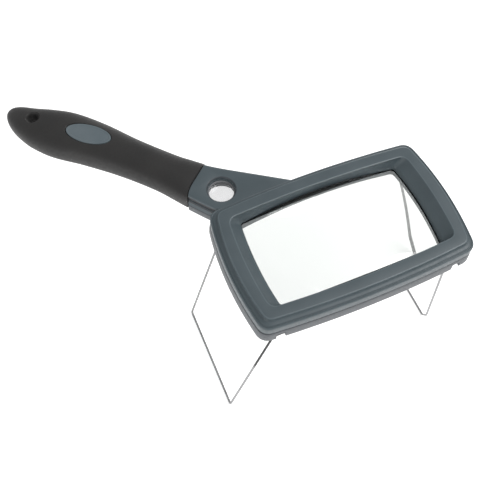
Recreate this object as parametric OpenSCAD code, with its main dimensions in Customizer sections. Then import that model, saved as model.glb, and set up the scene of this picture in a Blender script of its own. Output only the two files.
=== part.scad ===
// Two-way magnifying glass: a bowed rectangular lens frame with a corner handle,
// standing on two fold-out wire legs. Millimetres, +Z up, the origin lies on the
// table below the centre of the main lens, and +X runs along the frame away from the handle.

/* [Lens frame] */
// Half length of the frame's top face, at its corners
face_x = 55.4; // [54:0.1:58]
// Half width of the frame's top face, at its corners
face_y = 31.8; // [31:0.1:34]
// How far the short sides bow outward
bow_x = 3.6; // [2:0.1:4]
// How far the long sides bow outward
bow_y = 2.7; // [2:0.1:3]
// Width of the top face on the short sides
face_w_short = 4.1; // [3:0.1:5]
// Width of the top face on the long sides
face_w_long = 5.2; // [4.5:0.1:6]
// Depth of the sloping bezel inside the top face
bezel_depth = 5.5; // [4:0.1:6]
// Run of the bezel on the short sides
bezel_run_short = 6.2; // [5:0.1:6.6]
// Run of the bezel on the long sides
bezel_run_long = 1.5; // [1:0.1:2]
// Whole thickness of the frame
frame_t = 16.8; // [16:0.1:18]
// Depth of the joint between the front and rear shells
split_depth = 9.6; // [9.4:0.1:10]
// Depth of the shoulder around the raised top face
shoulder_depth = 3; // [2.5:0.1:3.1]
// Depth of the neck's flat top
neck_depth = 3.3; // [3.2:0.1:3.6]
// Depth of the neck's underside
neck_bottom = 15.9; // [15.6:0.1:15.9]

/* [Lenses] */
// Radius of curvature of both faces of the main lens
lens_r = 245; // [230:1:300]
// Thickness of the main lens at its centre
lens_t = 12.5; // [11:0.1:12.6]
// Radius of the round spot lens window
spot_r = 7.25; // [6:0.05:7.5]

/* [Handle] */
// Direction of the handle, counterclockwise from +X
handle_angle = 131; // [128:0.5:134]
// Distance from the lens centre to the front end of the grip
grip_start = 81.6; // [81.4:0.1:82]
// Distance from the lens centre to the tip of the grip
grip_end = 198.8; // [197:0.1:201]
// Thickness of the soft grip over its core
grip_wall = 1.7; // [1.4:0.1:2]
// Radius of the hanging hole
hang_r = 2.8; // [2.4:0.1:3]
// Length and width of the oval badge
badge_size = [26, 12]; // [10:1:28]

/* [Folding legs] */
// Diameter of the leg wire
wire_d = 1.3; // [1.2:0.1:1.5]
// Distance of each leg's pivot from the lens centre, along X
pivot_x = 49.5; // [49:0.1:50]
// Depth of the pivots below the frame's top face
pivot_depth = 14; // [13.8:0.1:14.2]
// Height from the feet up to the pivots
leg_drop = 102; // [80:0.5:103]
// Outward lean of the left leg, in degrees
left_splay = 13.9; // [8:0.1:14]
// Outward lean of the right leg, in degrees
right_splay = 8.2; // [6:0.1:12]
// Half distance between the arms of the left leg
left_half = 32.9; // [32.8:0.05:33]
// Half distance between the arms of the right leg
right_half = 30.2; // [30:0.05:30.3]

/* [Fasteners] */
// Radius of the frame screws' shanks
frame_screw_r = 1; // [0.8:0.1:1.1]
// Radius of the neck screws' shanks
neck_screw_r = 1.2; // [1:0.1:1.3]

/* [Hidden] */

slate = [0.36, 0.40, 0.43];
slate_dark = [0.30, 0.33, 0.36];
rubber_black = [0.20, 0.20, 0.20];
core_black = [0.12, 0.12, 0.13];
steel = [0.75, 0.76, 0.78];
clear = [0.85, 0.93, 0.95, 0.4];

eps = 0.1;
fit_gap = 0.05;
wire_r = wire_d / 2;
top_z = leg_drop + pivot_depth + wire_r;
lip_x = face_x - face_w_short;
lip_y = face_y - face_w_long;
window_x = lip_x - bezel_run_short;
window_y = lip_y - bezel_run_long;
inner_bow_x = 1.8;
inner_bow_y = 2;
rim_w = 2.1;
rim_t = 2;
rim_top = 7.2;
gasket_t = split_depth - rim_top - rim_t;
lens_mid = rim_top + rim_t / 2;
left_arm = leg_drop / cos(left_splay);
right_arm = leg_drop / cos(right_splay);
wire_bend = 1.6;
// Height and run of the cut-off corners of the right leg's foot
toe = [7.4, 3.5];
groove_top = 13.1;
groove_half = 1.15;
groove_split = (left_half + right_half) / 2;
spot_at = [-47.1, 46.3];
handle_mid = 9.6;
tang_start = 75.6;
tang_half_t = 3;
tang_range = [-16, 3];
hang_at = [180.5, -10.6];
badge_at = [146.5, -6.8];
badge_turn = 10;
badge_top = 1.2;
badge_floor = 2.4;
// Grip sections from the neck to the tip: distance along the handle, offset to its
// right, half width and half thickness
grip_stations = [[80, -5.75, 12.9, 6.9], [100, -5.65, 11.4, 7.5], [122, -6.1, 11.55, 8.1],
                 [144, -6.9, 13.45, 8.6], [164, -9.15, 14.6, 8.7], [184, -11.4, 11.2, 8.3],
                 [200, -10.1, 11.5, 8]];
tip_length = 23;
tip_sharpness = 1.6;
section_power = 2.4;
core_start = grip_start + 1.6;
core_end = grip_end - grip_wall - 3;
boss_r = hang_r + 0.8;
boss_half = 6.4;
cap_w = 5;
cap_top = 12;
cap_bottom = 15.4;
pin_end = 2.7;
pin_gap = 0.05;
left_cap = [left_half + groove_half, left_half + 2.9];
right_cap = [right_half - 3.8, right_half - groove_half];
frame_screws_at = [[-58.8, -12], [-58.8, 12], [58.8, -12], [58.8, 12]];
neck_screws_at = [[77.4, -13.6], [77.4, 0.6]];

// Point of a quadratic curve through a and c, drawn toward b
function curve(a, b, c, t) = a * pow(1 - t, 2) + b * 2 * t * (1 - t) + c * pow(t, 2);

// One quarter of a rectangle of half sizes hx, hy with sides that bow by bx, by and
// corners rounded over the length r
function quarter(hx, hy, bx, by, r, side = 7, corner = 5) =
    let (a = [hx + bx * (1 - pow((hy - r) / hy, 2)), hy - r],
         c = [hx - r, hy + by * (1 - pow((hx - r) / hx, 2))],
         b = [a.x - 2 * bx * r / hy, c.y - 2 * by * r / hx])
    concat([for (i = [0:side - 1]) let (y = a.y * i / side) [hx + bx * (1 - pow(y / hy, 2)), y]],
           [for (i = [0:corner]) curve(a, b, c, i / corner)],
           [for (i = [side - 1:-1:0]) let (x = c.x * i / side) [x, hy + by * (1 - pow(x / hx, 2))]]);

// The closed outline made of four such quarters
function bowed(hx, hy, bx, by, r) =
    let (q = quarter(hx, hy, bx, by, r), n = len(q))
    concat(q,
           [for (i = [n - 2:-1:0]) [-q[i].x, q[i].y]],
           [for (i = [1:n - 1]) [-q[i].x, -q[i].y]],
           [for (i = [n - 2:-1:1]) [q[i].x, -q[i].y]]);

// The frame's outline, moved outward by d, and the window's outline
function frame_loop(d, r = 3.4) = bowed(face_x + d, face_y + d, bow_x, bow_y, r + d * 0.45);
function window_loop(d, r = 2) = bowed(window_x + d, window_y + d, inner_bow_x, inner_bow_y, r);
function lip_loop(d) = bowed(lip_x + d, lip_y + d, inner_bow_x, inner_bow_y, 4);

// A point s along the handle from the lens centre and n to its right
function along(s, n) = [s * cos(handle_angle) + n * sin(handle_angle),
                        s * sin(handle_angle) - n * cos(handle_angle)];

// A solid that joins outlines of equal point counts, each given as [depth, outline], from the top down
module stack(levels) {
    n = len(levels[0][1]);
    m = len(levels);
    points = [for (level = levels) for (p = level[1]) [p.x, p.y, -level[0]]];
    sides = [for (k = [0:m - 2]) for (i = [0:n - 1])
                 let (j = (i + 1) % n)
                 each [[k * n + i, k * n + j, (k + 1) * n + j], [k * n + i, (k + 1) * n + j, (k + 1) * n + i]]];
    top = [for (i = [n - 1:-1:0]) i];
    bottom = [for (i = [0:n - 1]) (m - 1) * n + i];
    polyhedron(points, concat([top], sides, [bottom]));
}

// A straight prism of an outline between two depths
module prism(outline, top, bottom) {
    translate([0, 0, -bottom]) linear_extrude(bottom - top) polygon(outline);
}

// A straight rectangular block between two depths
module slot(x0, x1, y0, y1, top, bottom) {
    translate([x0, y0, -bottom]) cube([x1 - x0, y1 - y0, bottom - top]);
}

// A round rod between two depths
module rod(at, r, top, bottom) {
    translate([at.x, at.y, -bottom]) cylinder(r = r, h = bottom - top, $fn = 48);
}

module lifted() {
    translate([0, 0, top_z]) children();
}

// How far the joint between neck and grip curves back toward the frame at the offset n
function front_shift(n) = -2.7 * pow(max(0, -9 - n) / 9.5, 2);

// Outline of the neck that carries the spot lens, moved inward by e
function neck_loop(e) = concat(
    [[2, 30], along(36.4, 17 - e), along(68, 8.2 - e)],
    [for (t = [0.25:0.25:1]) curve(along(68, 8.2 - e), along(76, 6 - e), along(81, 5.2 - e), t)],
    [for (t = [0.65, 0.78, 0.9, 1]) let (n = 5.2 - e + (2 * e - 22.7) * t) along(81 + front_shift(n), n)],
    [along(73, -18.8 + e), along(66, -19.2 + e), along(52, -18.8 + e)]);

module neck_tang_pocket() {
    prism([along(tang_start - fit_gap, tang_range[0] - fit_gap), along(grip_start + 1, tang_range[0] - fit_gap),
           along(grip_start + 1, tang_range[1] + fit_gap), along(tang_start - fit_gap, tang_range[1] + fit_gap)],
          handle_mid - tang_half_t - fit_gap, handle_mid + tang_half_t + fit_gap);
}

module front_shell() {
    color(slate) lifted() difference() {
        union() {
            stack([[shoulder_depth, frame_loop(2.9)], [shoulder_depth + 0.8, frame_loop(3.5)],
                   [split_depth + 1, frame_loop(3.5)]]);
            stack([[0, frame_loop(-0.2)], [0.3, frame_loop(0.15)], [shoulder_depth + 1.5, frame_loop(0.15)]]);
            stack([[neck_depth, neck_loop(0.7)], [neck_depth + 0.7, neck_loop(0)],
                   [split_depth + 2, neck_loop(0)]]);
        }
        slot(-200, 200, -200, 200, split_depth, split_depth + 9);
        stack([[-eps, lip_loop(0.1)], [bezel_depth, window_loop(0)]]);
        prism(window_loop(0), bezel_depth - eps, split_depth + eps);
        prism(window_loop(rim_w + fit_gap), rim_top, split_depth + eps);
        difference() {
            prism(frame_loop(0.6), 5.2, split_depth + eps);
            prism(window_loop(rim_w + 1.7), 5, split_depth + 1);
            for (at = frame_screws_at) rod(at, 2.5, 5, split_depth + 1);
        }
        for (at = frame_screws_at) rod(at, frame_screw_r, 6, split_depth + eps);
        for (at = neck_screws_at) rod(along(at.x, at.y), neck_screw_r, 4.4, split_depth + eps);
        rod(spot_at, spot_r, shoulder_depth, split_depth + eps);
        rod(spot_at, spot_r + 1, 6, split_depth + eps);
        neck_tang_pocket();
    }
}

// The grooves that take the folded legs, cut from below
module leg_grooves() {
    left_stop = pivot_x + (frame_t - pivot_depth) * tan(left_splay) + wire_r / cos(left_splay) + pin_gap;
    right_stop = pivot_x + (frame_t - pivot_depth) * tan(right_splay) + wire_r / cos(right_splay) + pin_gap;
    left_reach = left_arm - pivot_x;
    right_reach = right_arm - pivot_x;
    deep = frame_t + eps;
    intersection() {
        prism(frame_loop(1.9, 4), groove_top, deep);
        for (side = [-1, 1]) {
            near = groove_split - eps;
            slot(-left_stop, left_reach + groove_half, min(side * near, side * 36),
                 max(side * near, side * 36), groove_top, deep);
        }
    }
    slot(left_reach - groove_half, left_reach + groove_half, -groove_split, groove_split, groove_top, deep);
    slot(-right_reach - groove_half, -right_reach + groove_half, -groove_split, groove_split, groove_top, deep);
    for (side = [-1, 1])
        slot(-right_reach - groove_half, right_stop,
             side > 0 ? right_half - groove_half : -groove_split,
             side > 0 ? groove_split : -right_half + groove_half, groove_top, deep);
    for (side = [-1, 1])
        prism([[-right_reach + toe.x + 1.3, side * (right_half - groove_half + eps)],
               [-right_reach + groove_half - eps, side * (right_half - toe.y - 1.3)],
               [-right_reach, side * right_half]], groove_top, deep);
}

module rear_shell() {
    color(slate_dark) lifted() difference() {
        union() {
            stack([[split_depth - 1, frame_loop(2.9)], [split_depth + 0.5, frame_loop(3.7)],
                   [15.8, frame_loop(4.1)], [frame_t, frame_loop(3.7)]]);
            stack([[split_depth - 2, neck_loop(1)], [split_depth + 0.6, neck_loop(0)],
                   [neck_bottom - 1, neck_loop(0.2)], [neck_bottom, neck_loop(1.2)]]);
        }
        slot(-200, 200, -200, 200, 1, split_depth);
        prism(window_loop(0), split_depth - eps, frame_t + eps);
        leg_grooves();
        for (x = [-1, 1], y = [-1, 1])
            slot(x * pivot_x - cap_w / 2, x * pivot_x + cap_w / 2,
                 y > 0 ? left_half + groove_half : -40,
                 y < 0 ? -left_half - groove_half : x < 0 ? 36.6 : 40,
                 cap_top, frame_t + eps);
        for (y = [-1, 1])
            slot(pivot_x - cap_w / 2, pivot_x + cap_w / 2,
                 y > 0 ? right_half - 3.8 : -right_half + groove_half - eps,
                 y > 0 ? right_half - groove_half + eps : -right_half + 3.8, cap_top, frame_t + eps);
        for (at = frame_screws_at) {
            rod(at, frame_screw_r + 0.1, split_depth - eps, frame_t + eps);
            rod(at, 1.95, frame_t - 1.4, frame_t + eps);
        }
        for (at = neck_screws_at) {
            rod(along(at.x, at.y), neck_screw_r + 0.1, split_depth - eps, frame_t + eps);
            rod(along(at.x, at.y), 2.3, neck_bottom - 1.8, frame_t + eps);
        }
        rod(spot_at, spot_r, split_depth - eps, frame_t + eps);
        neck_tang_pocket();
    }
}

module main_lens() {
    half_t = lens_t / 2;
    color(clear) lifted() union() {
        intersection() {
            prism(window_loop(-0.25), lens_mid - half_t - 1, lens_mid + half_t + 1);
            translate([0, 0, -lens_mid + half_t - lens_r]) sphere(r = lens_r, $fn = 180);
            translate([0, 0, -lens_mid - half_t + lens_r]) sphere(r = lens_r, $fn = 180);
        }
        prism(window_loop(rim_w), rim_top, rim_top + rim_t);
    }
}

module lens_gasket() {
    color(core_black) lifted() difference() {
        prism(window_loop(rim_w), rim_top + rim_t, rim_top + rim_t + gasket_t);
        prism(window_loop(0), rim_top, split_depth + 1);
    }
}

// A shallow dome of base radius r and height h, pointing up or down from the given depth
module dome(r, h, depth, up) {
    ball = (r * r + h * h) / (2 * h);
    translate([spot_at.x, spot_at.y, -depth]) mirror([0, 0, up ? 0 : 1]) intersection() {
        translate([0, 0, h - ball]) sphere(r = ball, $fn = 72);
        cylinder(r = r, h = h + 1, $fn = 48);
    }
}

module spot_lens() {
    color(clear) lifted() union() {
        rod(spot_at, spot_r + 0.9, 7.4, split_depth);
        dome(6.4, 1.3, 7.4, true);
        dome(7, 1.6, split_depth, false);
    }
}

module spot_lens_ring() {
    color(core_black) lifted() difference() {
        rod(spot_at, spot_r + 0.95, 6, 7.4);
        rod(spot_at, 6.6, 5, 8);
    }
}

// Smooth value of one grip dimension at the distance s
function grip_size(s, k) =
    let (last = len(grip_stations) - 1,
         i = max([for (j = [0:last - 1]) if (s >= grip_stations[j][0]) j]),
         before = grip_stations[max(i - 1, 0)],
         a = grip_stations[i],
         b = grip_stations[i + 1],
         after = grip_stations[min(i + 2, last)],
         span = b[0] - a[0],
         t = min(1, (s - a[0]) / span),
         a_slope = (b[k] - before[k]) / (b[0] - before[0]) * span,
         b_slope = (after[k] - a[k]) / (after[0] - a[0]) * span)
    a[k] * (2 * pow(t, 3) - 3 * pow(t, 2) + 1) + a_slope * (pow(t, 3) - 2 * pow(t, 2) + t)
    + b[k] * (3 * pow(t, 2) - 2 * pow(t, 3)) + b_slope * (pow(t, 3) - pow(t, 2));

// How far the rounded tip has closed at the distance s, 1 before it starts and 0 at the end
function tip_factor(s, end) =
    let (t = max(0, (s - end + tip_length) / tip_length))
    pow(max(0, 1 - pow(t, tip_sharpness)), 0.5);

function power(v, e) = sign(v) * pow(abs(v), e);

// Cross section of the grip at the distance s, shrunk by inset, as points in space
function grip_ring(s, inset, end, count) =
    let (f = tip_factor(s, end - inset),
         at = max(s, grip_stations[0][0]),
         w = max(0.6, grip_size(at, 2) * f - inset * min(1, f + 0.4)),
         h = max(0.4, grip_size(at, 3) * pow(f, 0.7) - inset * min(1, f + 0.4)),
         c = grip_size(at, 1))
    [for (i = [0:count - 1])
        let (a = 360 * i / count,
             p = along(s, c + w * power(cos(a), 2 / section_power)))
        [p.x, p.y, -handle_mid + h * power(sin(a), 2 / section_power)]];

// A closed solid through grip sections between two distances
module grip_body(from, to, inset, count, rings) {
    points = [for (k = [0:rings]) let (t = k / rings)
                  each grip_ring(from + (to - from) * (1 - pow(1 - t, 1.6)), inset, grip_end, count)];
    sides = [for (k = [0:rings - 1]) for (i = [0:count - 1])
                 let (j = (i + 1) % count)
                 each [[k * count + i, k * count + j, (k + 1) * count + j],
                       [k * count + i, (k + 1) * count + j, (k + 1) * count + i]]];
    start = [for (i = [count - 1:-1:0]) i];
    finish = [for (i = [0:count - 1]) rings * count + i];
    polyhedron(points, concat([start], sides, [finish]));
}

module core_outside() {
    grip_body(core_start, core_end, grip_wall, 28, 16);
}

// The whole core of the handle; each half keeps what lies on its own side of the middle
module handle_core() {
    difference() {
        union() {
            difference() {
                core_outside();
                grip_body(core_start + 2, core_end - 3, grip_wall + 1.8, 20, 12);
            }
            prism([along(tang_start, tang_range[0]), along(core_start + 3, tang_range[0]),
                   along(core_start + 3, tang_range[1]), along(tang_start, tang_range[1])],
                  handle_mid - tang_half_t, handle_mid + tang_half_t);
            rod(along(hang_at.x, hang_at.y), boss_r, handle_mid - boss_half, handle_mid + boss_half);
        }
        rod(along(hang_at.x, hang_at.y), hang_r, 0, 20);
        for (at = neck_screws_at) rod(along(at.x, at.y), neck_screw_r + 0.1, 0, 20);
    }
}

module handle_core_top() {
    color(core_black) lifted() intersection() {
        handle_core();
        translate([-160, 20, -handle_mid]) cube([150, 160, 20]);
    }
}

module handle_core_bottom() {
    color(core_black) lifted() intersection() {
        handle_core();
        translate([-160, 20, -handle_mid - 20]) cube([150, 160, 20]);
    }
}

// Outline of the oval badge, grown by d
function badge_loop(d) =
    let (c = along(badge_at.x, badge_at.y), turn = handle_angle + badge_turn)
    [for (a = [0:9:351])
        let (p = (badge_size.x / 2 + d) * cos(a), q = (badge_size.y / 2 + d) * sin(a))
        [c.x + p * cos(turn) - q * sin(turn), c.y + p * sin(turn) + q * cos(turn)]];

module rubber_grip() {
    color(rubber_black) lifted() difference() {
        grip_body(grip_start - 3.6, grip_end - 0.3, 0, 36, 24);
        prism(concat([for (n = [10, -9, -10.6, -12.5, -14, -15.2, -16.4, -17.5, -20])
                          along(grip_start + front_shift(n), n)], [along(70, -20), along(70, 10)]), -4, 24);
        core_outside();
        rod(along(hang_at.x, hang_at.y), boss_r, -2, 24);
        prism([along(grip_start - 2, tang_range[0]), along(core_start + 3.1, tang_range[0]),
               along(core_start + 3.1, tang_range[1]), along(grip_start - 2, tang_range[1])],
              handle_mid - tang_half_t, handle_mid + tang_half_t);
        prism(badge_loop(0.1), -2, badge_floor);
    }
}

module badge() {
    color(slate) lifted() stack([[badge_top, badge_loop(-0.6)], [badge_top + 0.4, badge_loop(0)],
                                 [badge_floor, badge_loop(0)]]);
}

// A bent wire leg hanging from its pivots: arms half apart, pins that point outward or inward,
// and feet with rounded corners, or cut-off ones of the given height and run
module wire_leg(half, arm, pin, cut = [0, 0]) {
    module wire(a, b) {
        d = b - a;
        translate(a) rotate([-atan2(d.y, d.z), 0, 0]) cylinder(r = wire_r, h = norm(d), $fn = 24);
    }
    straight = cut.x > 0;
    low = straight ? cut : [wire_bend, wire_bend];
    union() {
        wire([0, -half + low.y, -arm], [0, half - low.y, -arm]);
        for (side = [-1, 1]) mirror([0, side > 0 ? 0 : 1, 0]) {
            wire([0, half, 0], [0, half, -arm + low.x]);
            wire([0, half, 0], [0, half + pin * pin_end, 0]);
            translate([0, half, 0]) sphere(r = wire_r, $fn = 24);
            if (straight) {
                wire([0, half, -arm + low.x], [0, half - low.y, -arm]);
                translate([0, half, -arm + low.x]) sphere(r = wire_r + 0.02, $fn = 24);
                translate([0, half - low.y, -arm]) sphere(r = wire_r + 0.02, $fn = 24);
            } else {
                translate([0, half - wire_bend, -arm + wire_bend]) mirror([0, 0, 1]) rotate([90, 0, 90])
                    rotate_extrude(angle = 90, $fn = 48) translate([wire_bend, 0]) circle(r = wire_r, $fn = 24);
            }
        }
    }
}

module left_leg() {
    color(steel) lifted() translate([-pivot_x, 0, -pivot_depth]) rotate([0, left_splay, 0])
        wire_leg(left_half, left_arm, 1);
}

module right_leg() {
    color(steel) lifted() translate([pivot_x, 0, -pivot_depth]) rotate([0, -right_splay, 0])
        wire_leg(right_half, right_arm, -1, toe);
}

// A cap that closes one pivot: side is +1 for the far end, and y0 to y1 its span away from the centre
module pivot_cap(x, side, y0, y1) {
    color(core_black) lifted() difference() {
        slot(x - cap_w / 2, x + cap_w / 2, side > 0 ? y0 : -y1, side > 0 ? y1 : -y0, cap_top, cap_bottom);
        translate([x, 0, -pivot_depth]) rotate([-90 * side, 0, 0])
            translate([0, 0, y0 - 1]) cylinder(r = wire_r + pin_gap, h = y1 - y0 + 2, $fn = 32);
    }
}

module pivot_cap_left_near() {
    pivot_cap(-pivot_x, -1, left_cap[0], left_cap[1]);
}

module pivot_cap_left_far() {
    pivot_cap(-pivot_x, 1, left_cap[0], left_cap[1]);
}

module pivot_cap_right_near() {
    pivot_cap(pivot_x, -1, right_cap[0], right_cap[1]);
}

module pivot_cap_right_far() {
    pivot_cap(pivot_x, 1, right_cap[0], right_cap[1]);
}

// A pan-head screw driven up from below to the depth tip, with a cross recess in its head
module screw(at, r, head_r, head_t, tip, head_bottom) {
    difference() {
        union() {
            rod(at, r, tip, head_bottom - head_t + eps);
            rod(at, head_r, head_bottom - head_t, head_bottom);
        }
        for (turn = [0, 90]) translate([at.x, at.y, -head_bottom - eps]) rotate([0, 0, turn])
            translate([-head_r * 0.6, -0.2, 0]) cube([head_r * 1.2, 0.4, 0.7]);
    }
}

module frame_screws() {
    color(steel) lifted() for (at = frame_screws_at)
        screw(at, frame_screw_r, 1.85, 1.2, 6, frame_t - 0.2);
}

module neck_screws() {
    color(steel) lifted() for (at = neck_screws_at)
        screw(along(at.x, at.y), neck_screw_r, 2.2, 1.6, 4.4, neck_bottom - 0.2);
}

front_shell();
rear_shell();
main_lens();
lens_gasket();
spot_lens();
spot_lens_ring();
handle_core_top();
handle_core_bottom();
rubber_grip();
badge();
left_leg();
right_leg();
pivot_cap_left_near();
pivot_cap_left_far();
pivot_cap_right_near();
pivot_cap_right_far();
frame_screws();
neck_screws();
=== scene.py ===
"""Looks of the two-way magnifying glass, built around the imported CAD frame.

Lengths are in millimetres unless a name says otherwise, in the frame's own directions: +X along
the lens frame away from the handle, +Y toward the handle's side, and depth downward from the
frame's top face. mesh_piece() turns them into metres.
"""
import math

import bmesh
import bpy
from mathutils import Matrix, Vector


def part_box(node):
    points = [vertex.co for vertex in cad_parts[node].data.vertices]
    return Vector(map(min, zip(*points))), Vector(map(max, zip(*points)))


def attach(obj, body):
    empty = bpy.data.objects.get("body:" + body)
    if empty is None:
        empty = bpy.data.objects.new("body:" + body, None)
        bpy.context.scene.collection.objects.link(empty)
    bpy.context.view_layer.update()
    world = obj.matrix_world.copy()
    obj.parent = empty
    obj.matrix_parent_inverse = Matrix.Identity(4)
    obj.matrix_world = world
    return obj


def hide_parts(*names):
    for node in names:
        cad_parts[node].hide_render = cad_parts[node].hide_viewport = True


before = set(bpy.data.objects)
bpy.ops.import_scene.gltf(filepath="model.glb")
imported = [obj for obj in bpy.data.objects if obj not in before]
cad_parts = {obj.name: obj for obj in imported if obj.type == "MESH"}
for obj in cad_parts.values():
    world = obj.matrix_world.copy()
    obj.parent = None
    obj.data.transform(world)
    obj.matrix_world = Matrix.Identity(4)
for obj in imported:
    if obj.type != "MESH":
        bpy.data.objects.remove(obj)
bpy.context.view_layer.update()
MM = 0.001
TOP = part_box("front_shell")[1].z / MM

# Frame: half sizes at the corners, how far the sides bow out past them, and the corners' length
FACE = (55.4, 31.8)
BOW = (3.6, 2.7)
FACE_CORNER = 3.4
LIP = (51.3, 26.6)
LIP_CORNER = 4.2
WINDOW = (45.1, 25.1)
WINDOW_CORNER = 1.8
INNER_BOW = (1.8, 2.0)
SPLIT = 9.6
BEZEL_DEPTH = 5.5
BEZEL_DISH = 0.35
RIM_TOP, RIM_T, RIM_W = 7.2, 2.0, 2.1
FRAME_T = 16.8
SCREWS = [(sx * 58.8, sy * 12.0) for sx in (-1, 1) for sy in (-1, 1)]
# Legs and their grooves: a leg's half is half its width at the wire's centre line
PIVOT_X, PIVOT_DEPTH = 49.5, 14.0
NOTCH_W, NOTCH_IN = 5.0, 33.95
NOTCH_OUT, NOTCH_OUT_AT_NECK = 42, 36.6
GROOVE_TOP = 13.1
GROOVE_HALF = 1.15
LEFT_HALF, RIGHT_HALF = 32.9, 30.2
LEFT_SPLAY, RIGHT_SPLAY = 13.9, 8.2
LEG_DROP = 102.0
WIRE_R = 0.65
PIN_LENGTH, PIN_BEND, FOOT_BEND = 2.7, 1.1, 1.6
TOE = (7.4, 3.5)
TOE_BEND = 1.2
TOE_ROOM = 1.25
# Lenses
LENS_R, LENS_T = 245.0, 12.5
SPOT_AT, SPOT_R = (-47.1, 46.3), 7.25
# Handle
HANDLE_ANGLE = math.radians(131)
HANDLE_MID = 9.6
NECK_TOP, NECK_BOTTOM = 3.3, 15.9
NECK_FRONT, NECK_NEAR, NECK_FAR = 81, -18.4, 5.2
NECK_TUCK = 1.8
GRIP_START, GRIP_END = 81.6, 198.8
GRIP_BLEND = 14
TIP_LENGTH, TIP_SHARPNESS = 23.0, 1.6
SECTION_POWER = 2.4
# Distance along the handle, and the grip's middle, half width and half height there
STATIONS = [(80, -5.75, 12.9, 6.9), (100, -5.65, 11.4, 7.5), (122, -6.1, 11.55, 8.1), (144, -6.9, 13.45, 8.6),
            (164, -9.15, 14.6, 8.7), (184, -11.4, 11.2, 8.3), (200, -10.1, 11.5, 8.0)]
HANG_AT = (180.5, -10.6)
NECK_SCREWS = [(77.4, -13.6), (77.4, 0.6)]
BADGE_AT, BADGE_TURN = (146.5, -6.8), math.radians(10)
BADGE_SIZE = (26.0, 12.0)
# A cut that goes past the part starts or ends at one of these depths
ABOVE, BELOW = -5, 30
# Material slots of the front shell: plain, a painted highlight on rounded edges, painted shade in the neck's
# grooves, and painted shade around the round window
PLAIN, PAINTED_HIGHLIGHT, PAINTED_GROOVE_SHADE, PAINTED_RIM_SHADE = 0, 1, 2, 3


# ---------------------------------------------------------------- outlines

def mix(a, b, t):
    return a + (b - a) * t


def along(s, n):
    """The point s along the handle from the lens centre and n to its right."""
    c, d = math.cos(HANDLE_ANGLE), math.sin(HANDLE_ANGLE)
    return (s * c + n * d, s * d - n * c)


def curve(a, b, c, t):
    return tuple(a[i] * (1 - t) ** 2 + b[i] * 2 * t * (1 - t) + c[i] * t * t for i in (0, 1))


def bowed(half, bow, r, side=22, corner=12):
    """A rectangle with sides that bow outward and corners rounded over the length r."""
    hx, hy = half
    bx, by = bow
    a = (hx + bx * (1 - ((hy - r) / hy) ** 2), hy - r)
    c = (hx - r, hy + by * (1 - ((hx - r) / hx) ** 2))
    b = (a[0] - 2 * bx * r / hy, c[1] - 2 * by * r / hx)
    q = [(hx + bx * (1 - (a[1] * i / side / hy) ** 2), a[1] * i / side) for i in range(side)]
    q += [curve(a, b, c, i / corner) for i in range(corner + 1)]
    q += [(c[0] * i / side, hy + by * (1 - (c[0] * i / side / hx) ** 2)) for i in range(side - 1, -1, -1)]
    n = len(q)
    return (q + [(-x, y) for x, y in reversed(q[:-1])] + [(-x, -y) for x, y in q[1:]]
            + [(q[i][0], -q[i][1]) for i in range(n - 2, 0, -1)])


def face_loop(d):
    """The outline of the raised face, moved outward by d."""
    return bowed((FACE[0] + d, FACE[1] + d), BOW, FACE_CORNER + d * 0.45)


def lip_loop(d):
    """The inner edge of the raised face, moved outward by d."""
    return bowed((LIP[0] + d, LIP[1] + d), INNER_BOW, LIP_CORNER + d)


def window_loop(d):
    """The outline of the lens's window, moved outward by d."""
    return bowed((WINDOW[0] + d, WINDOW[1] + d), INNER_BOW, WINDOW_CORNER + max(0, d) * 0.5)


def circle(at, r, steps):
    return [(at[0] + r * math.cos(2 * math.pi * k / steps), at[1] + r * math.sin(2 * math.pi * k / steps))
            for k in range(steps)]


def front_shift(n):
    """How far the joint between neck and grip curves back toward the frame at the offset n."""
    return -2.7 * (max(0.0, -9 - n) / 9.5) ** 2


def neck_front(n):
    """The neck's end at the offset n; it curves a little less than the grip and so closes the joint."""
    return along(NECK_FRONT + 0.83 * front_shift(n), n)


def neck_loop(e, tuck=0.0):
    """The neck's outline moved inward by e, and by tuck more on the near side."""
    low, high = NECK_NEAR + e + tuck, NECK_FAR - e
    far = [curve(along(68, high + 3), along(76, high + 0.8), along(NECK_FRONT, high), t / 8) for t in range(9)]
    front = [neck_front(mix(high, low, t)) for t in (0.6, 0.68, 0.75, 0.81, 0.87, 0.92, 0.96, 0.99)]
    near = [curve(neck_front(low), along(73, low - 0.5), along(66, low - 0.8), t / 6) for t in range(7)]
    return [(2, 30), along(36.4, high + 11.8)] + far + front + near + [along(52, low - 0.4)]


# ---------------------------------------------------------------- meshes

def mesh_piece(name, verts, faces, smooth_angle=35, slots=None):
    """A mesh object from points given as x, y and depth in millimetres."""
    mesh = bpy.data.meshes.new(name)
    mesh.from_pydata([(x * MM, y * MM, (TOP - d) * MM) for x, y, d in verts], [], faces)
    if slots:
        mesh.polygons.foreach_set("material_index", slots)
    bm = bmesh.new()
    bm.from_mesh(mesh)
    bmesh.ops.remove_doubles(bm, verts=bm.verts, dist=1e-6)
    bmesh.ops.recalc_face_normals(bm, faces=bm.faces)
    bm.to_mesh(mesh)
    bm.free()
    obj = bpy.data.objects.new(name, mesh)
    bpy.context.scene.collection.objects.link(obj)
    shade(obj, smooth_angle)
    return obj


def shade(obj, angle):
    """Smooth shading, with edges sharp where faces meet at more than the angle in degrees."""
    for p in obj.data.polygons:
        p.use_smooth = True
    obj.data.set_sharp_from_angle(angle=math.radians(angle))


def strips(n, m, closed=False):
    """Quads that join m rings of n points, and the last to the first if closed."""
    return [(k * n + i, k * n + (i + 1) % n, (k + 1) % m * n + (i + 1) % n, (k + 1) % m * n + i)
            for k in range(m if closed else m - 1) for i in range(n)]


def caps(n, m):
    """The two flat ends of a body through m rings of n points."""
    return [tuple(range(n)), tuple((m - 1) * n + i for i in reversed(range(n)))]


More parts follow.
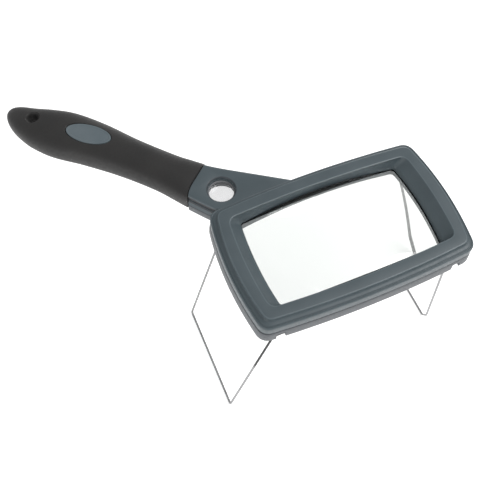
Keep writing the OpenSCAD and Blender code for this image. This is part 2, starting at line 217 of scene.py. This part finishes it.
def strip_slots(rings, n):
    """The material slot of each quad: a ring's third item is the slot of the strip that starts there."""
    return [ring[2] if len(ring) > 2 else PLAIN for ring in rings for _ in range(n)]


def ring_sweep(name, rings):
    """A closed ring: each entry of rings is (outline, depth) or (outline, depth, slot), joined in
    order and back to the first."""
    n = len(rings[0][0])
    verts = [(x, y, ring[1]) for ring in rings for x, y in ring[0]]
    return mesh_piece(name, verts, strips(n, len(rings), closed=True), slots=strip_slots(rings, n))


def stack(name, levels, smooth_angle=35):
    """A closed solid through outlines of equal point counts, from the top down, written as the
    rings of ring_sweep()."""
    n, m = len(levels[0][0]), len(levels)
    verts = [(x, y, level[1]) for level in levels for x, y in level[0]]
    slots = strip_slots(levels[:-1], n) + [PLAIN, PLAIN]
    return mesh_piece(name, verts, strips(n, m) + caps(n, m), smooth_angle, slots)


def lathe(name, at, profile, steps, smooth_angle=35):
    """A closed solid of revolution about the vertical at the point: profile holds (radius, depth)
    or (radius, depth, slot)."""
    return stack(name, [(circle(at, point[0], steps), *point[1:]) for point in profile], smooth_angle)


def block(name, x, y, depth):
    """A box between the two values given for each direction."""
    verts = [(a, b, c) for a in x for b in y for c in depth]
    faces = [(0, 1, 3, 2), (4, 6, 7, 5), (0, 4, 5, 1), (2, 3, 7, 6), (0, 2, 6, 4), (1, 5, 7, 3)]
    return mesh_piece(name, verts, faces)


def carve(obj, *tools, operation="DIFFERENCE"):
    """Applies exact booleans and removes the tools."""
    bpy.context.view_layer.objects.active = obj
    for tool in tools:
        mod = obj.modifiers.new("carve", "BOOLEAN")
        mod.object, mod.operation, mod.solver = tool, operation, "EXACT"
        bpy.ops.object.modifier_apply(modifier=mod.name)
        bpy.data.objects.remove(tool)
    return obj


# ---------------------------------------------------------------- materials

def new_material(name, color, roughness, **inputs):
    """A node material and its shader; inputs are named as the shader's, with _ for a space."""
    mat = bpy.data.materials.new(name)
    mat.use_nodes = True
    shader = mat.node_tree.nodes["Principled BSDF"]
    shader.inputs["Base Color"].default_value = (*color, 1)
    shader.inputs["Roughness"].default_value = roughness
    for key, value in inputs.items():
        shader.inputs[key.replace("_", " ")].default_value = value
    return mat, shader


def noise(mat, scale, detail):
    """Noise over the object's own coordinates, in cycles per metre."""
    nodes, links = mat.node_tree.nodes, mat.node_tree.links
    spot = nodes.get("Texture Coordinate") or nodes.new("ShaderNodeTexCoord")
    tex = nodes.new("ShaderNodeTexNoise")
    tex.inputs["Scale"].default_value = scale
    tex.inputs["Detail"].default_value = detail
    tex.inputs["Roughness"].default_value = 0.5
    links.new(spot.outputs["Object"], tex.inputs["Vector"])
    return tex


def vary(mat, shader, socket, tex, low, high):
    """Drives a colour or number of the shader between low and high by a texture."""
    nodes, links = mat.node_tree.nodes, mat.node_tree.links
    ramp = nodes.new("ShaderNodeValToRGB")
    ramp.color_ramp.elements[0].position = 0.35
    ramp.color_ramp.elements[1].position = 0.65
    for element, value in zip(ramp.color_ramp.elements, (low, high)):
        element.color = (*value, 1) if hasattr(value, "__len__") else (value, value, value, 1)
    links.new(tex.outputs["Fac"], ramp.inputs["Fac"])
    links.new(ramp.outputs["Color"], shader.inputs[socket])


def bump(mat, shader, layers):
    """Stacks bump layers of (texture, strength, distance in millimetres)."""
    nodes, links = mat.node_tree.nodes, mat.node_tree.links
    last = None
    for tex, strength, distance in layers:
        node = nodes.new("ShaderNodeBump")
        node.inputs["Strength"].default_value = strength
        node.inputs["Distance"].default_value = distance * MM
        links.new(tex.outputs["Fac"], node.inputs["Height"])
        if last:
            links.new(last.outputs["Normal"], node.inputs["Normal"])
        last = node
    links.new(last.outputs["Normal"], shader.inputs["Normal"])


def moulded_plastic(name, dark, light, roughness):
    """Plastic with slight mottling between two colours, uneven gloss and a fine mould texture."""
    mat, shader = new_material(name, dark, roughness)
    vary(mat, shader, "Base Color", noise(mat, 60, 4), dark, light)
    vary(mat, shader, "Roughness", noise(mat, 900, 2), roughness - 0.05, roughness + 0.06)
    bump(mat, shader, [(noise(mat, 2600, 2), 0.10, 0.05), (noise(mat, 120, 2), 0.10, 0.05)])
    return mat


def soft_rubber():
    """Soft-touch rubber with a grainy surface and a faint sheen."""
    mat, shader = new_material("soft_touch_rubber", (0.03, 0.03, 0.03), 0.6)
    vary(mat, shader, "Base Color", noise(mat, 45, 4), (0.013, 0.0125, 0.0125), (0.020, 0.019, 0.0185))
    vary(mat, shader, "Roughness", noise(mat, 700, 3), 0.50, 0.62)
    shader.inputs["Sheen Weight"].default_value = 0.12
    shader.inputs["Sheen Roughness"].default_value = 0.5
    shader.inputs["Specular IOR Level"].default_value = 0.45
    bump(mat, shader, [(noise(mat, 3200, 3), 0.22, 0.05), (noise(mat, 90, 2), 0.12, 0.08)])
    return mat


def clear_acrylic(name, color):
    """Clear acrylic that lets nearly all light through to the floor below."""
    mat, shader = new_material(name, color, 0.02, IOR=1.49, Transmission_Weight=1.0)
    nodes, links = mat.node_tree.nodes, mat.node_tree.links
    vary(mat, shader, "Roughness", noise(mat, 400, 2), 0.0, 0.015)
    path = nodes.new("ShaderNodeLightPath")
    through = nodes.new("ShaderNodeBsdfTransparent")
    through.inputs["Color"].default_value = (0.94, 0.96, 0.955, 1)
    either = nodes.new("ShaderNodeMixShader")
    links.new(path.outputs["Is Shadow Ray"], either.inputs["Fac"])
    links.new(shader.outputs["BSDF"], either.inputs[1])
    links.new(through.outputs["BSDF"], either.inputs[2])
    links.new(either.outputs["Shader"], nodes["Material Output"].inputs["Surface"])
    return mat


def plated_wire(name, painted_shade_length):
    """Plated wire whose near arm is coloured near black over the given length below its pivot, as painted shade
    and a painted reflection of the dark frame.
    """
    mat, shader = new_material(name, (0.26, 0.26, 0.265), 0.3, Metallic=0.6)
    vary(mat, shader, "Roughness", noise(mat, 500, 3), 0.24, 0.38)
    bump(mat, shader, [(noise(mat, 1500, 2), 0.08, 0.03)])
    nodes, links = mat.node_tree.nodes, mat.node_tree.links
    place_on_wire = nodes.new("ShaderNodeSeparateXYZ")
    links.new(nodes["Texture Coordinate"].outputs["Object"], place_on_wire.inputs["Vector"])

    def calculate(operation, first, second):
        node = nodes.new("ShaderNodeMath")
        node.operation = operation
        links.new(first, node.inputs[0])
        if isinstance(second, float):
            node.inputs[1].default_value = second
        else:
            links.new(second, node.inputs[1])
        return node.outputs["Value"]

    # The height runs from 0 at the feet to 1 at the pivots; the far arm counts as height 0
    pivot_height = (TOP - PIVOT_DEPTH) * MM
    height = calculate("DIVIDE", place_on_wire.outputs["Z"], pivot_height)
    near_arm = calculate("LESS_THAN", place_on_wire.outputs["Y"], 0.0)
    # Near the pivot the near arm turns near black: painted shade under the frame and a painted reflection of it
    ramp = nodes.new("ShaderNodeValToRGB")
    links.new(calculate("MULTIPLY", height, near_arm), ramp.inputs["Fac"])
    edge = 1 - painted_shade_length * MM / pivot_height
    for element, position, color in zip(ramp.color_ramp.elements, (edge - 0.02, edge + 0.02),
                                        ((0.30, 0.30, 0.305, 1), (0.004, 0.004, 0.005, 1))):
        element.position, element.color = position, color
    links.new(ramp.outputs["Color"], shader.inputs["Base Color"])
    return mat


def zinc_steel():
    """Zinc-plated steel."""
    mat, shader = new_material("zinc_steel", (0.5, 0.5, 0.5), 0.3, Metallic=1.0)
    vary(mat, shader, "Base Color", noise(mat, 300, 3), (0.42, 0.42, 0.41), (0.58, 0.58, 0.56))
    bump(mat, shader, [(noise(mat, 1800, 2), 0.15, 0.03)])
    return mat


SLATE = moulded_plastic("slate_plastic", (0.066, 0.088, 0.099), (0.076, 0.099, 0.111), 0.42)
# A lighter copy of the slate, used as a painted highlight along the face's and the lip's rounded edges
SLATE_PAINTED_HIGHLIGHT = moulded_plastic("slate_plastic_painted_highlight", (0.092, 0.120, 0.134), (0.104, 0.134, 0.149), 0.36)
# Darker slate: painted shade for the grooves along the neck's step
SLATE_GROOVE_SHADE = moulded_plastic("slate_plastic_painted_groove_shade", (0.032, 0.033, 0.038), (0.038, 0.040, 0.045), 0.6)
# Darker slate: a painted shade ring around the round window's top edge
SLATE_RIM_SHADE = moulded_plastic("slate_plastic_painted_rim_shade", (0.042, 0.052, 0.060), (0.049, 0.060, 0.069), 0.45)
# A lighter copy of the same slate for the rear half: painted light from the bright floor below
SLATE_REAR_LIT = moulded_plastic("slate_plastic_rear_painted_light", (0.087, 0.096, 0.105), (0.097, 0.106, 0.115), 0.46)
BLACK = moulded_plastic("black_plastic", (0.012, 0.012, 0.013), (0.018, 0.018, 0.019), 0.5)
# Light grey for the ring under the round lens: painted light from the table shining up through the hole
SPOT_RING_LIT = moulded_plastic("spot_ring_painted_light", (0.180, 0.185, 0.195), (0.215, 0.220, 0.232), 0.5)
# Near black with little gloss: painted shade for the lens's edge, where the gap between bezel and lens lies in
# shade
LENS_EDGE_SHADE = moulded_plastic("lens_edge_painted_shade", (0.002, 0.0035, 0.0035), (0.004, 0.006, 0.006), 0.8)
LENS_EDGE_SHADE.node_tree.nodes["Principled BSDF"].inputs["Specular IOR Level"].default_value = 0.05
BADGE = moulded_plastic("badge_plastic", (0.105, 0.135, 0.152), (0.125, 0.155, 0.172), 0.45)
RUBBER = soft_rubber()
ACRYLIC = clear_acrylic("clear_acrylic", (0.78, 0.80, 0.785))
ACRYLIC_SPOT = clear_acrylic("clear_acrylic_spot", (0.61, 0.61, 0.615))
WIRE_LEFT = plated_wire("plated_wire_left", 44.0)
WIRE_RIGHT = plated_wire("plated_wire_right", 1.0)
ZINC = zinc_steel()


def dress(obj, *materials):
    """Gives the object these materials; with more than one, each face keeps the slot it was made with."""
    slots = [p.material_index for p in obj.data.polygons]
    obj.data.materials.clear()
    for material in materials:
        obj.data.materials.append(material)
    if len(materials) > 1:
        obj.data.polygons.foreach_set("material_index", slots)
    return obj


def place(obj, material, body, slot, *replaced):
    """Gives a piece its material or tuple of materials, body and the nodes it replaces; the slot argument is not
    used.
    """
    dress(obj, *(material if isinstance(material, tuple) else (material,)))
    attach(obj, body)
    if replaced:
        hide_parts(*replaced)
    return obj


# ---------------------------------------------------------------- lens frame

def neck(name, levels):
    """A part of the neck through the levels, without what lies inside the window."""
    return carve(stack(name, levels), stack("inside", [(window_loop(1.5), ABOVE), (window_loop(1.5), BELOW)]))


def front_shell():
    """The front half: bezel, raised face, shoulder and flange, and the neck's top with its window."""
    profile = [(window_loop(0), RIM_TOP), (window_loop(0), 5.9), (window_loop(0.15), 5.6)]
    # The bezel rises from the window to the lip in a slightly dished slope
    for t in (0.06, 0.25, 0.5, 0.75, 0.93):
        half = [mix(window, lip, t) for window, lip in zip(WINDOW, LIP)]
        depth = BEZEL_DEPTH * (1 - t) + BEZEL_DISH * math.sin(math.pi * t)
        profile.append((bowed(half, INNER_BOW, mix(WINDOW_CORNER, LIP_CORNER, t)), depth))
    profile += [
        # The lip's and the face's rounded edges take the lighter slate, a painted highlight
        (lip_loop(-0.15), 0.18, PAINTED_HIGHLIGHT), (lip_loop(0.08), 0.04, PAINTED_HIGHLIGHT), (lip_loop(0.4), 0.0),
        (face_loop(-0.4), 0.0, PAINTED_HIGHLIGHT), (face_loop(-0.12), 0.05, PAINTED_HIGHLIGHT),
        (face_loop(0.06), 0.18, PAINTED_HIGHLIGHT), (face_loop(0.13), 0.45),
        # The face's side and the shoulder
        (face_loop(0.15), 1.5), (face_loop(0.2), 1.95), (face_loop(0.36), 2.3), (face_loop(0.7), 2.55),
        (face_loop(1.3), 2.78), (face_loop(1.9), 3.0), (face_loop(2.12), 3.12),
        # The groove and the bead outside it
        (face_loop(2.25), 3.4), (face_loop(2.5), 3.44), (face_loop(2.66), 3.26), (face_loop(2.85), 3.2),
        (face_loop(3.1), 3.3), (face_loop(3.35), 3.6),
        # The flange
        (face_loop(3.47), 4.1), (face_loop(3.5), 5.0), (face_loop(3.5), 8.9), (face_loop(3.4), 9.3),
        (face_loop(3.1), SPLIT), (window_loop(RIM_W + 0.05), SPLIT), (window_loop(RIM_W + 0.05), RIM_TOP)]
    ring = ring_sweep("frame_front", profile)
    neck_top = neck("neck_top", [
        (neck_loop(2.0, NECK_TUCK), NECK_TOP), (neck_loop(1.1, NECK_TUCK), NECK_TOP + 0.08),
        (neck_loop(0.5, NECK_TUCK), NECK_TOP + 0.35), (neck_loop(0.12, NECK_TUCK), NECK_TOP + 0.8),
        # The step along the near side, between two strips of darker slate that are painted shade in its grooves
        (neck_loop(0, 1.75), NECK_TOP + 1.3, PAINTED_GROOVE_SHADE), (neck_loop(0, 1.6), 6.3),
        (neck_loop(0, 1.1), 6.4, PAINTED_GROOVE_SHADE), (neck_loop(0, 1.0), 7.4), (neck_loop(0, 0.6), 7.9),
        (neck_loop(0, 0.1), 9.3), (neck_loop(0.2, 0.1), SPLIT - 0.05)])
    # The round window's top edge takes the darker slate, a painted shade ring
    hole = lathe("hole", SPOT_AT, [
        (8.3, NECK_TOP - 1), (8.3, NECK_TOP - 0.1, PAINTED_RIM_SHADE), (7.95, NECK_TOP + 0.06, PAINTED_RIM_SHADE),
        (7.6, NECK_TOP + 0.3, PAINTED_RIM_SHADE), (7.4, NECK_TOP + 0.7), (SPOT_R, NECK_TOP + 1.6), (SPOT_R, 12)], 96)
    materials = (SLATE, SLATE_PAINTED_HIGHLIGHT, SLATE_GROOVE_SHADE, SLATE_RIM_SHADE)
    for obj in (ring, neck_top, hole):
        dress(obj, *materials)
    carve(ring, neck_top, operation="UNION")
    carve(ring, hole)
    shade(ring, 38)
    return place(ring, materials, "frame", "front_shell", "front_shell")


def leg_reach(splay):
    """How far from the middle a folded leg's foot lies, on the other side."""
    return LEG_DROP / math.cos(math.radians(splay)) - PIVOT_X


def leg_stop(splay):
    """How far from the middle a leg's groove ends, where the unfolded leg rests against it."""
    lean = math.radians(splay)
    return PIVOT_X + (FRAME_T - PIVOT_DEPTH) * math.tan(lean) + WIRE_R / math.cos(lean) + 0.05


def leg_cuts(left, right):
    """The leg grooves, side notches and cap seats; left and right are the legs' reach."""
    middle = (LEFT_HALF + RIGHT_HALF) / 2
    deep = (GROOVE_TOP, 20)
    cuts = []
    for side in (-1, 1):
        cuts.append(block("arm", (-leg_stop(LEFT_SPLAY), left + GROOVE_HALF - 0.02),
                          sorted((side * (middle - 0.1), side * (LEFT_HALF + GROOVE_HALF))), deep))
        cuts.append(block("arm", (-right - GROOVE_HALF + 0.02, leg_stop(RIGHT_SPLAY)),
                          sorted((side * (RIGHT_HALF - GROOVE_HALF), side * (middle + 0.05))), deep))
        for x in (-1, 1):
            out = NOTCH_OUT_AT_NECK if (x, side) == (-1, 1) else NOTCH_OUT
            cuts.append(block("notch", (x * PIVOT_X - NOTCH_W / 2, x * PIVOT_X + NOTCH_W / 2),
                              sorted((side * NOTCH_IN, side * out)), (12, 20)))
        cuts.append(block("cap_seat", (PIVOT_X - NOTCH_W / 2 - 0.03, PIVOT_X + NOTCH_W / 2 + 0.03),
                          sorted((side * (RIGHT_HALF - 3.83), side * (RIGHT_HALF - 1))), (11.97, 20)))
        corner = [(-right + TOE[0] + TOE_ROOM, side * (RIGHT_HALF - GROOVE_HALF + 0.1)),
                  (-right + GROOVE_HALF - 0.1, side * (RIGHT_HALF - TOE[1] - TOE_ROOM)),
                  (-right, side * RIGHT_HALF)]
        cuts.append(stack("corner", [(corner, deep[0]), (corner, deep[1])]))
    cuts.append(block("bar", (left - GROOVE_HALF, left + GROOVE_HALF), (-middle, middle), deep))
    cuts.append(block("bar", (-right - GROOVE_HALF, -right + GROOVE_HALF), (-middle + 0.02, middle - 0.02), deep))
    return cuts


def rear_holes():
    """The screw recesses and the lower end of the round window."""
    frame_hole = [(1.95, FRAME_T - 1.4), (1.95, FRAME_T - 0.2), (2.25, FRAME_T + 0.1), (2.25, 20)]
    neck_hole = [(2.3, 14.1), (2.3, NECK_BOTTOM - 0.25), (2.6, NECK_BOTTOM + 0.1), (2.6, 20)]
    spot_hole = [(SPOT_R, 5), (SPOT_R, NECK_BOTTOM - 0.6), (7.7, NECK_BOTTOM - 0.1),
                 (8.2, NECK_BOTTOM + 0.2), (8.2, 20)]
    return ([lathe("hole", at, frame_hole, 40) for at in SCREWS]
            + [lathe("hole", along(*at), neck_hole, 40) for at in NECK_SCREWS]
            + [lathe("hole", SPOT_AT, spot_hole, 96)])


def rear_shell():
    """The rear half with the leg grooves, the side notches and the screw recesses."""
    ring = ring_sweep("frame_rear", [
        (window_loop(0), SPLIT), (window_loop(0), FRAME_T - 0.6), (window_loop(0.2), FRAME_T - 0.15),
        (window_loop(0.6), FRAME_T), (face_loop(3.7), FRAME_T), (face_loop(3.95), FRAME_T - 0.08),
        (face_loop(4.08), FRAME_T - 0.3), (face_loop(4.1), FRAME_T - 0.8), (face_loop(3.98), 13.5),
        (face_loop(3.83), 11.5), (face_loop(3.7), 10.4), (face_loop(3.55), 10.0), (face_loop(3.1), 9.8),
        (face_loop(2.6), SPLIT)])
    neck_under = neck("neck_under", [
        (neck_loop(0.5), SPLIT + 0.02), (neck_loop(0.1), 9.85), (neck_loop(0), 10.2), (neck_loop(0.05), 14.0),
        (neck_loop(0.35), 15.0), (neck_loop(0.9), 15.6), (neck_loop(1.7), NECK_BOTTOM)])
    carve(ring, neck_under, operation="UNION")
    carve(ring, *leg_cuts(leg_reach(LEFT_SPLAY), leg_reach(RIGHT_SPLAY)))
    carve(ring, *rear_holes())
    shade(ring, 38)
    # The rear half takes the lighter slate copy, which is painted light
    return place(ring, SLATE_REAR_LIT, "frame", "rear_shell", "rear_shell")


# ---------------------------------------------------------------- lenses

def main_lens():
    """A biconvex lens of one curvature radius inside the window, with a thin clamped rim around it."""
    edge, rim = window_loop(-0.2), window_loop(RIM_W)
    mid = RIM_TOP + RIM_T / 2
    steps = 28
    n = len(edge)

    def sag(x, y):
        """The fall of the surface from its pole to a point."""
        return LENS_R - math.sqrt(LENS_R ** 2 - x * x - y * y)

    def surface(t, side):
        """The outline scaled by t, on the upper or lower surface."""
        return [(x * t, y * t, mid - side * (LENS_T / 2 - sag(x * t, y * t))) for x, y in edge]

    rings = [surface(k / steps, 1) for k in range(1, steps + 1)]
    rings += [[(x, y, RIM_TOP) for x, y in edge], [(x, y, RIM_TOP) for x, y in rim],
              [(x, y, RIM_TOP + RIM_T) for x, y in rim], [(x, y, RIM_TOP + RIM_T) for x, y in edge]]
    rings += [surface(k / steps, -1) for k in range(steps, 0, -1)]
    verts = [v for ring in rings for v in ring] + [(0, 0, mid - LENS_T / 2), (0, 0, mid + LENS_T / 2)]
    m = len(rings)
    faces = strips(n, m)
    # The two poles
    faces += [(m * n, i, (i + 1) % n) for i in range(n)]
    faces += [(m * n + 1, (m - 1) * n + (i + 1) % n, (m - 1) * n + i) for i in range(n)]
    lens = place(mesh_piece("lens_main", verts, faces, 20), ACRYLIC, "frame", "lens", "main_lens")
    # The lens's edge is coloured near black, all around and on both sides of its rim, as painted shade for the
    # shaded gap between bezel and lens
    lens.data.materials.append(LENS_EDGE_SHADE)
    x_in, y_in = (WINDOW[0] - 1) * MM, (WINDOW[1] - 1) * MM
    for p in lens.data.polygons:
        side_on = abs(p.normal.z) < 0.5
        on_rim = any(abs(p.center.z / MM - TOP + d) < 0.01 for d in (RIM_TOP, RIM_TOP + RIM_T))
        if (side_on or on_rim) and (abs(p.center.x) > x_in or abs(p.center.y) > y_in):
            p.material_index = 1
    return lens


def dome_profile(r, h, base, side, steps=14):
    """Radius and depth pairs of a shallow dome from its pole to its edge."""
    ball = (r * r + h * h) / (2 * h)
    return [(r * k / steps, base - side * (h - ball + math.sqrt(ball ** 2 - (r * k / steps) ** 2)))
            for k in range(1, steps + 1)]


def spot_lens():
    """The round lens: two shallow domes with a rim between them."""
    top = dome_profile(6.4, 0.8, 7.4, 1)
    under = dome_profile(7.0, 0.9, SPLIT, -1)
    profile = [(0.05, 6.6)] + top + [(8.1, 7.42), (8.1, SPLIT - 0.02)] + under[::-1] + [(0.05, 10.5)]
    return place(lathe("lens_spot", SPOT_AT, profile, 72, 20), ACRYLIC_SPOT, "frame", "lens", "spot_lens")


def spot_ring():
    """The ring that holds the round lens from above; its light grey is painted light coming up through the hole.
    """
    profile = [(6.6, 7.38), (6.6, 6.2), (6.75, 6.03), (7.0, 6.0), (8.15, 6.0), (8.15, 7.38)]
    rings = [(circle(SPOT_AT, r, 96), depth) for r, depth in profile]
    return place(ring_sweep("ring_spot", rings), SPOT_RING_LIT, "frame", "inner_plastic", "spot_lens_ring")


# ---------------------------------------------------------------- handle

def station(s, k):
    """A grip dimension at the distance s, on a smooth curve through the stations."""
    i = max(j for j in range(len(STATIONS) - 1) if s >= STATIONS[j][0])
    p = [STATIONS[min(max(j, 0), len(STATIONS) - 1)] for j in (i - 1, i, i + 1, i + 2)]
    span = p[2][0] - p[1][0]
    t = min(1.0, (s - p[1][0]) / span)

    def slope(a, b):
        return (b[k] - a[k]) / (b[0] - a[0]) * span if b[0] > a[0] else 0.0

    m0, m1 = slope(p[0], p[2]), slope(p[1], p[3])
    return ((2 * t ** 3 - 3 * t ** 2 + 1) * p[1][k] + (t ** 3 - 2 * t ** 2 + t) * m0
            + (3 * t ** 2 - 2 * t ** 3) * p[2][k] + (t ** 3 - t ** 2) * m1)


def signed_power(v, e):
    """The power of the size of v, with the sign of v."""
    return math.copysign(abs(v) ** e, v)


def grip_ring(s, inset=0.0, shift=0.0):
    """The grip's cross section at the distance s; inset shrinks it, and shift moves it along the handle."""
    count = 112
    t = max(0.0, (s - GRIP_END + TIP_LENGTH) / TIP_LENGTH)
    f = math.sqrt(max(0.0, 1 - t ** TIP_SHARPNESS))
    w = max(0.15, station(s, 2) * f - inset)
    h = max(0.10, station(s, 3) * f ** 0.7 - inset)
    c = station(s, 1)
    # Near the neck the section is squarer and follows the joint's curve
    curved = max(0.0, 1 - (s - GRIP_START) / GRIP_BLEND)
    power = 2 / (SECTION_POWER + curved)
    ring = []
    for i in range(count):
        a = 2 * math.pi * i / count
        n = c + w * signed_power(math.cos(a), power)
        x, y = along(s + shift + front_shift(n) * curved, n)
        ring.append((x, y, HANDLE_MID - h * signed_power(math.sin(a), power)))
    return ring


def oval(d, depth):
    """The badge's outline moved outward by d, as a level of stack()."""
    cx, cy = along(*BADGE_AT)
    turn = HANDLE_ANGLE + BADGE_TURN
    c, s = math.cos(turn), math.sin(turn)
    half_long, half_wide = BADGE_SIZE[0] / 2 + d, BADGE_SIZE[1] / 2 + d
    points = [(half_long * p, half_wide * q) for p, q in circle((0, 0), 1, 96)]
    return [(cx + p * c - q * s, cy + p * s + q * c) for p, q in points], depth


def grip():
    """The soft sleeve: a lofted body with a rolled front edge, the hanging hole and the badge's recess."""
    steps = 120
    rings = [grip_ring(GRIP_START + 2.5, 2.2), grip_ring(GRIP_START, 1.9), grip_ring(GRIP_START, 0.9),
             grip_ring(GRIP_START, 0.35, shift=0.08), grip_ring(GRIP_START, 0.1, shift=0.3)]
    for k in range(1, steps + 1):
        t = 1 - (1 - k / steps) ** 1.7
        rings.append(grip_ring(mix(GRIP_START + 0.4, GRIP_END - 0.02, t)))
    n, m = len(rings[0]), len(rings)
    verts = [v for ring in rings for v in ring]
    body = mesh_piece("grip_sleeve", verts, strips(n, m) + caps(n, m), 40)
    recess = stack("recess", [oval(0.9, -3), oval(0.9, 0.9), oval(0.35, 1.5), oval(0.3, 3.2)])
    hole = lathe("hole", along(*HANG_AT), [
        (4.4, -3), (4.2, 1.7), (3.5, 2.4), (3.0, 3.1), (2.9, 4.2),
        (2.9, 15), (3.0, 16.1), (3.5, 16.8), (4.2, 17.5), (4.4, 23)], 72)
    carve(body, recess, hole)
    shade(body, 40)
    return place(body, RUBBER, "frame", "grip", "rubber_grip", "handle_core_top", "handle_core_bottom")


def badge():
    """A blank oval plate, gently domed, with a fine raised border."""
    levels = [oval(-5.9, 1.02), oval(-4.5, 1.04), oval(-3.0, 1.1), oval(-1.6, 1.2), oval(-1.2, 1.22),
              oval(-1.0, 1.08), oval(-0.5, 1.08), oval(-0.15, 1.2), oval(0.0, 1.5), oval(0.0, 3.1)]
    return place(stack("badge_plate", levels, 40), BADGE, "frame", "badge", "badge")


# ---------------------------------------------------------------- legs

def leg_path(half, arm, pin, toe):
    """Half of a leg's centre line as (y, height) from the pin's end to the middle of the foot."""
    path = [(half + pin * PIN_LENGTH, 0.0), (half + pin * PIN_BEND, 0.0)]
    for k in range(1, 6):
        a = math.radians(90 * k / 5)
        path.append((half + pin * PIN_BEND * (1 - math.sin(a)), -PIN_BEND * (1 - math.cos(a))))
    path += [(half, -arm * 0.35), (half, -arm * 0.7)]
    if toe:
        knee, foot = (half, -arm + toe[0]), (half - toe[1], -arm)
        before, after = (half, -arm + toe[0] + TOE_BEND), (half - toe[1] - TOE_BEND, -arm)
        slant, slant_end = (tuple(mix(knee[i], foot[i], t) for i in (0, 1)) for t in (0.15, 0.85))
        path += [curve(before, knee, slant, t / 5) for t in range(6)]
        path += [curve(slant_end, foot, after, t / 6) for t in range(7)]
    else:
        for k in range(9):
            a = math.radians(90 * k / 8)
            path.append((half - FOOT_BEND * (1 - math.cos(a)), -arm + FOOT_BEND * (1 - math.sin(a))))
    return path + [(half * 0.5, -arm), (0.0, -arm)]


def leg(name, half, splay, side, pin, material, body, node, toe=None):
    """A bent wire leg: arms, feet with rounded or cut-off corners, and the pins that turn in the caps."""
    path = leg_path(half, LEG_DROP / math.cos(math.radians(splay)), pin, toe)
    path += [(-y, z) for y, z in reversed(path[:-1])]
    lean = math.radians(splay) * side
    points = [(side * PIVOT_X - z * math.sin(lean), y, PIVOT_DEPTH - z * math.cos(lean)) for y, z in path]
    verts = []
    count = 20
    for k, p in enumerate(points):
        ahead = Vector(points[min(k + 1, len(points) - 1)]) - Vector(points[max(k - 1, 0)])
        ahead.normalize()
        across = Vector((math.cos(lean), 0, math.sin(lean)))
        across = (across - ahead * across.dot(ahead)).normalized()
        up = ahead.cross(across)
        verts += [tuple(Vector(p) + across * x + up * y) for x, y in circle((0, 0), WIRE_R, count)]
    faces = strips(count, len(points)) + caps(count, len(points))
    return place(mesh_piece(name, verts, faces, 40), material, body, "wire", node)


# ---------------------------------------------------------------- build

front_shell()
rear_shell()
main_lens()
spot_lens()
spot_ring()
grip()
badge()
leg("wire_left", LEFT_HALF, LEFT_SPLAY, -1, 1, WIRE_LEFT, "left_leg", "left_leg")
leg("wire_right", RIGHT_HALF, RIGHT_SPLAY, 1, -1, WIRE_RIGHT, "right_leg", "right_leg", TOE)

for node, material in (("lens_gasket", BLACK), ("pivot_cap_left_near", BLACK), ("pivot_cap_left_far", BLACK),
                       ("pivot_cap_right_near", BLACK), ("pivot_cap_right_far", BLACK),
                       ("frame_screws", ZINC), ("neck_screws", ZINC)):
    dress(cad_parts[node], material)


# ---------------------------------------------------------------- stage

def stage():
    """A plain pale floor, in metres."""
    mesh = bpy.data.meshes.new("floor")
    far = 3.0
    mesh.from_pydata([(-far, -far, 0), (far, -far, 0), (far, far, 0), (-far, far, 0)], [], [(0, 1, 2, 3)])
    floor = bpy.data.objects.new("floor", mesh)
    bpy.context.scene.collection.objects.link(floor)
    mat, shader = new_material("floor_white", (0.93, 0.93, 0.93), 0.9)
    shader.inputs["Specular IOR Level"].default_value = 0.1
    shader.inputs["Emission Color"].default_value = (1, 1, 1, 1)
    shader.inputs["Emission Strength"].default_value = 0.5
    floor.data.materials.append(mat)


def area_light(name, at, target, size, power):
    """A white disk light; at, target and size are in metres, power in watts."""
    data = bpy.data.lights.new(name, "AREA")
    data.shape, data.size, data.energy = "DISK", size, power
    light = bpy.data.objects.new(name, data)
    light.location = at
    light.rotation_euler = (Vector(target) - Vector(at)).to_track_quat("-Z", "Y").to_euler()
    bpy.context.scene.collection.objects.link(light)


def lights():
    """Soft studio light: an even surround, a key from above and two weak fills."""
    world = bpy.data.worlds.new("studio")
    world.use_nodes = True
    world.node_tree.nodes["Background"].inputs["Color"].default_value = (1, 1, 1, 1)
    world.node_tree.nodes["Background"].inputs["Strength"].default_value = 0.45
    bpy.context.scene.world = world
    centre = (-0.03, 0.04, 0.08)
    area_light("key", (0.5, -0.2, 0.9), centre, 0.7, 6.2)
    area_light("front", (-0.85, -0.5, 0.3), centre, 0.8, 3.0)
    area_light("rim", (0.6, 0.8, 0.25), centre, 0.5, 1.6)
    bpy.context.scene.view_settings.view_transform = "Standard"


def camera():
    """The main view: azimuth and elevation about a point in the plane of the top face, in metres."""
    azimuth, elevation, roll = math.radians(-24.38), math.radians(61.65), math.radians(1.64)
    distance = 0.34145
    aim = Vector((-0.0507, 0.0117, TOP * MM))
    out = Vector((math.cos(elevation) * math.sin(azimuth), -math.cos(elevation) * math.cos(azimuth),
                  math.sin(elevation)))
    level = Vector((math.cos(azimuth), math.sin(azimuth), 0))
    upright = out.cross(level)
    right = level * math.cos(roll) + upright * math.sin(roll)
    up = upright * math.cos(roll) - level * math.sin(roll)
    at = aim + out * distance
    data = bpy.data.cameras.new("camera")
    data.sensor_width, data.lens = 36.0, 51.28
    data.shift_x, data.shift_y = -0.0016, 0.0039
    data.clip_start = 0.01
    cam = bpy.data.objects.new("camera", data)
    cam.matrix_world = Matrix([(right[i], up[i], out[i], at[i]) for i in range(3)] + [(0, 0, 0, 1)])
    bpy.context.scene.collection.objects.link(cam)
    bpy.context.scene.camera = cam


stage()
lights()
camera()
